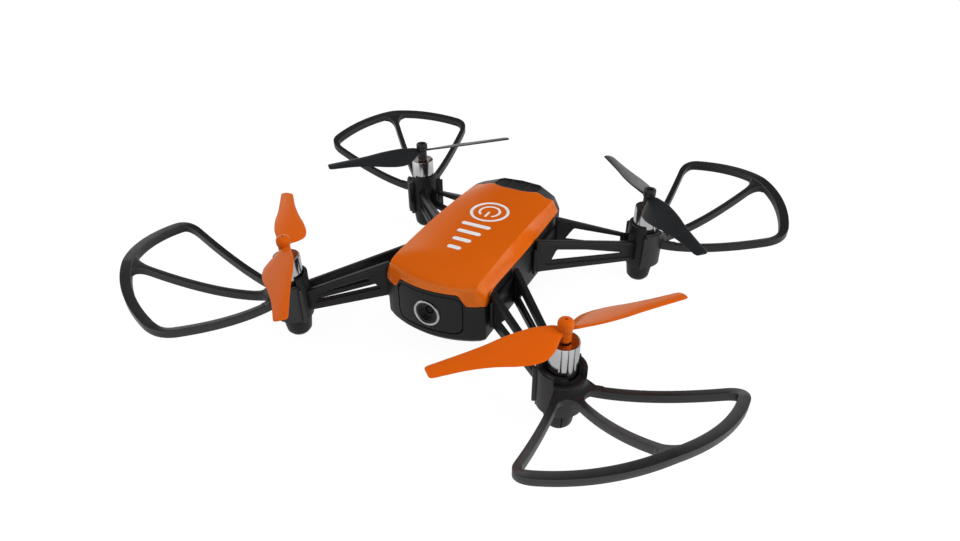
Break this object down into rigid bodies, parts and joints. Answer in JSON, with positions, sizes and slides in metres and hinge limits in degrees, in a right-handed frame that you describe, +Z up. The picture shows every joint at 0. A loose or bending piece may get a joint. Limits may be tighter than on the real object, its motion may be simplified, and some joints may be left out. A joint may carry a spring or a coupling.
{
  "type": "camera quadcopter",
  "caption": "Small camera quadcopter: slim moulded body on windowed arms, upright motors with twin-blade propellers in clip-on guards, a power key and a slide-out battery.",
  "frame": {"origin": "on the ground under the middle of the rectangle of the motors", "axes": "-Y towards the nose with the lens, +X towards the aircraft's own left, +Z up"},
  "size_m": [0.1858, 0.1741, 0.0366],
  "materials": {
    "orange_plastic": "satin moulded",
    "black_plastic": "satin moulded",
    "dark_metal": "satin black",
    "bright_metal": "bright plated",
    "pale_light_pipe": "smooth",
    "lens_glass": "polished",
    "circuit_board": "solder mask"
  },
  "bodies": {
    "airframe": {"top_shell": "orange_plastic", "power_light_ring": "pale_light_pipe", "battery_light_1": "pale_light_pipe", "battery_light_2": "pale_light_pipe", "battery_light_3": "pale_light_pipe", "battery_light_4": "pale_light_pipe", "hull": "black_plastic", "camera_faceplate": "black_plastic", "lens_ring": "bright_metal", "lens_barrel": "dark_metal", "lens_glass": "lens_glass", "camera_module": "dark_metal", "flight_board": "circuit_board", "arm_front_left": "black_plastic", "motor_can_front_left": "bright_metal", "motor_cap_front_left": "dark_metal", "guard_front_left": "black_plastic", "arm_front_right": "black_plastic", "motor_can_front_right": "bright_metal", "motor_cap_front_right": "dark_metal", "guard_front_right": "black_plastic", "arm_rear_right": "black_plastic", "motor_can_rear_right": "bright_metal", "motor_cap_rear_right": "dark_metal", "guard_rear_right": "black_plastic", "arm_rear_left": "black_plastic", "motor_can_rear_left": "bright_metal", "motor_cap_rear_left": "dark_metal", "guard_rear_left": "black_plastic"},
    "battery": {"battery_pack": "dark_metal", "battery_cap": "black_plastic"},
    "power_key": {"power_button": "orange_plastic"},
    "propeller_front_left": {"propeller_front_left": "orange_plastic", "motor_shaft_front_left": "bright_metal"},
    "propeller_front_right": {"propeller_front_right": "orange_plastic", "motor_shaft_front_right": "bright_metal"},
    "propeller_rear_right": {"propeller_rear_right": "black_plastic", "motor_shaft_rear_right": "bright_metal"},
    "propeller_rear_left": {"propeller_rear_left": "black_plastic", "motor_shaft_rear_left": "bright_metal"}
  },
  "joints": [
    {"name": "battery_slide", "type": "slide", "parent": "airframe", "child": "battery", "axis": [0, 1, 0], "range_m": [0, 0.05]},
    {"name": "power_key_press", "type": "slide", "parent": "airframe", "child": "power_key", "axis": [0, 0, -1], "range_m": [0, 0.0005], "stiffness_N_per_m": 800},
    {"name": "propeller_front_left_spin", "type": "hinge", "parent": "airframe", "child": "propeller_front_left", "pos_m": [0.0465, -0.0415, 0.033], "axis": [0, 0, 1], "continuous": true},
    {"name": "propeller_front_right_spin", "type": "hinge", "parent": "airframe", "child": "propeller_front_right", "pos_m": [-0.0465, -0.0415, 0.033], "axis": [0, 0, 1], "continuous": true},
    {"name": "propeller_rear_right_spin", "type": "hinge", "parent": "airframe", "child": "propeller_rear_right", "pos_m": [-0.0465, 0.0415, 0.033], "axis": [0, 0, 1], "continuous": true},
    {"name": "propeller_rear_left_spin", "type": "hinge", "parent": "airframe", "child": "propeller_rear_left", "pos_m": [0.0465, 0.0415, 0.033], "axis": [0, 0, 1], "continuous": true}
  ]
}
